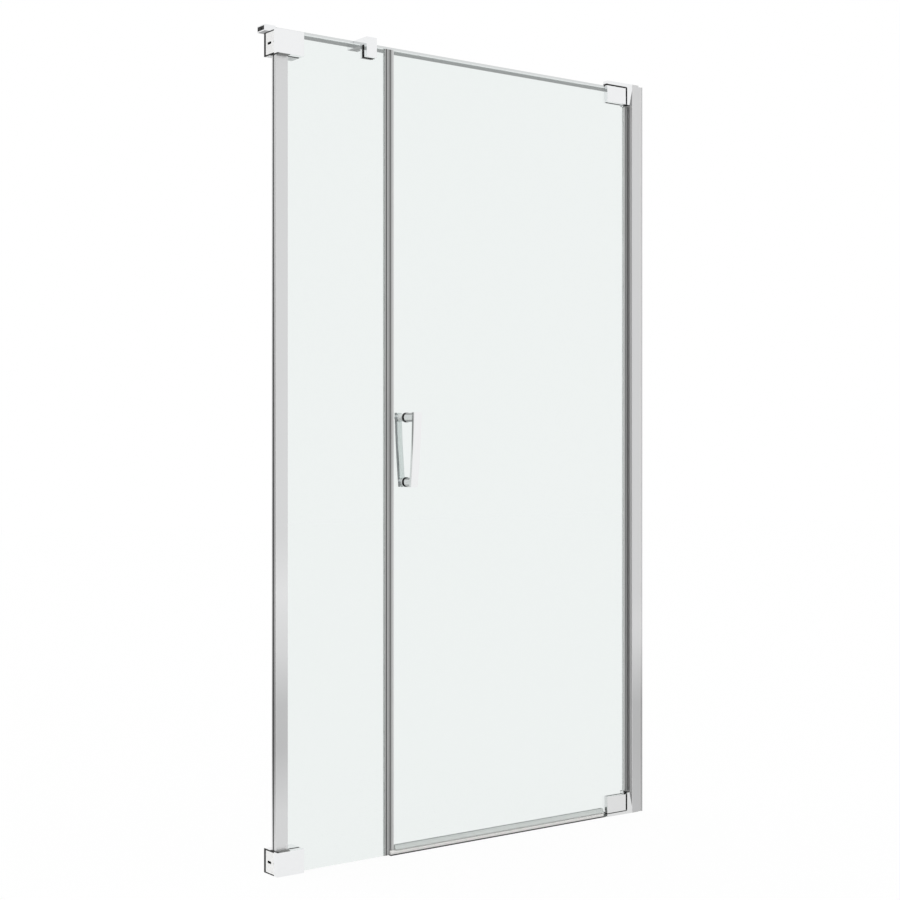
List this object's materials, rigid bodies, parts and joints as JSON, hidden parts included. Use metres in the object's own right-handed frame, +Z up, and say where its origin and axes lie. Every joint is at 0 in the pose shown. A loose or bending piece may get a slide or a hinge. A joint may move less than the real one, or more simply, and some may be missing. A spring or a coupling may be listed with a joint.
{
  "type": "hinged shower door",
  "caption": "Frameless glass shower door for a recess: pivot-hinged swing door beside a fixed glass panel, with wall profiles, stabiliser bar, clamps, seals, low threshold and bow handle.",
  "frame": {"origin": "on the floor, midway between the two walls, in the middle plane of the glass", "axes": "+X across the recess towards the hinge-side wall, +Y into the shower, +Z up"},
  "size_m": [1.17, 0.122, 2.0037],
  "materials": {
    "chrome": "polished chrome plating, lightly softened",
    "bar_chrome": "polished chrome plating",
    "polished_profile": "bright anodised aluminium, satin",
    "aluminium": "anodised aluminium, satin",
    "zinc": "die-cast zinc, unplated grey",
    "screw_steel": "stainless steel",
    "glass": "clear toughened glass, 8 mm, polished edges",
    "clear_seal": "translucent extruded PVC",
    "drip_seal": "translucent greenish grey PVC",
    "magnet": "dark bonded magnet strip",
    "rubber": "black gasket",
    "black_plastic": "black moulded nylon",
    "white_plastic": "white acetal",
    "sill": "light grey, satin"
  },
  "bodies": {
    "frame": {"adjusting_profile": "polished_profile", "adjusting_screws": "screw_steel", "bar_clamp_body": "chrome", "bar_clamp_front": "chrome", "bar_clamp_pads": "rubber", "bar_clamp_screws": "screw_steel", "bar_grub_screws": "screw_steel", "bar_wall_inserts": "black_plastic", "bottom_backing_plate": "screw_steel", "bottom_bracket_screws": "screw_steel", "bottom_hinge_bracket": "chrome", "bottom_hinge_pin": "screw_steel", "bracket_clamp_screws": "screw_steel", "fixed_glass": "glass", "fixed_magnet": "magnet", "fixed_magnet_seal": "clear_seal", "hinge_liners": "black_plastic", "left_bar_sleeve": "bar_chrome", "lower_bracket_body": "zinc", "lower_bracket_cover": "chrome", "lower_bracket_front": "chrome", "lower_bracket_pads": "rubber", "lower_bracket_rim": "rubber", "right_bar_sleeve": "bar_chrome", "side_channel": "aluminium", "side_channel_seal": "rubber", "stabiliser_bar": "bar_chrome", "threshold": "sill", "threshold_tape": "rubber", "top_backing_plate": "screw_steel", "top_bracket_screws": "screw_steel", "top_hinge_bracket": "chrome", "top_hinge_pin": "screw_steel", "upper_bracket_body": "zinc", "upper_bracket_cover": "chrome", "upper_bracket_front": "chrome", "upper_bracket_pads": "rubber", "upper_bracket_rim": "rubber", "wall_profile": "aluminium"},
    "door": {"top_hinge_bush": "white_plastic", "bottom_hinge_bush": "white_plastic", "top_hinge_core": "chrome", "bottom_hinge_core": "chrome", "top_hinge_front_plate": "chrome", "bottom_hinge_front_plate": "chrome", "top_hinge_rear_plate": "chrome", "bottom_hinge_rear_plate": "chrome", "top_hinge_pads": "rubber", "bottom_hinge_pads": "rubber", "hinge_clamp_screws": "screw_steel", "door_glass": "glass", "door_magnet_seal": "clear_seal", "door_magnet": "magnet", "hinge_side_seal": "clear_seal", "drip_seal": "drip_seal", "outer_handle": "chrome", "inner_handle": "chrome", "handle_washers": "rubber", "handle_bushes": "clear_seal", "handle_bolts": "screw_steel"}
  },
  "joints": [
    {"name": "door_swing", "type": "hinge", "parent": "frame", "child": "door", "pos_m": [0.488, 0, 0], "axis": [0, 0, 1], "range_deg": [-90, 90]}
  ]
}
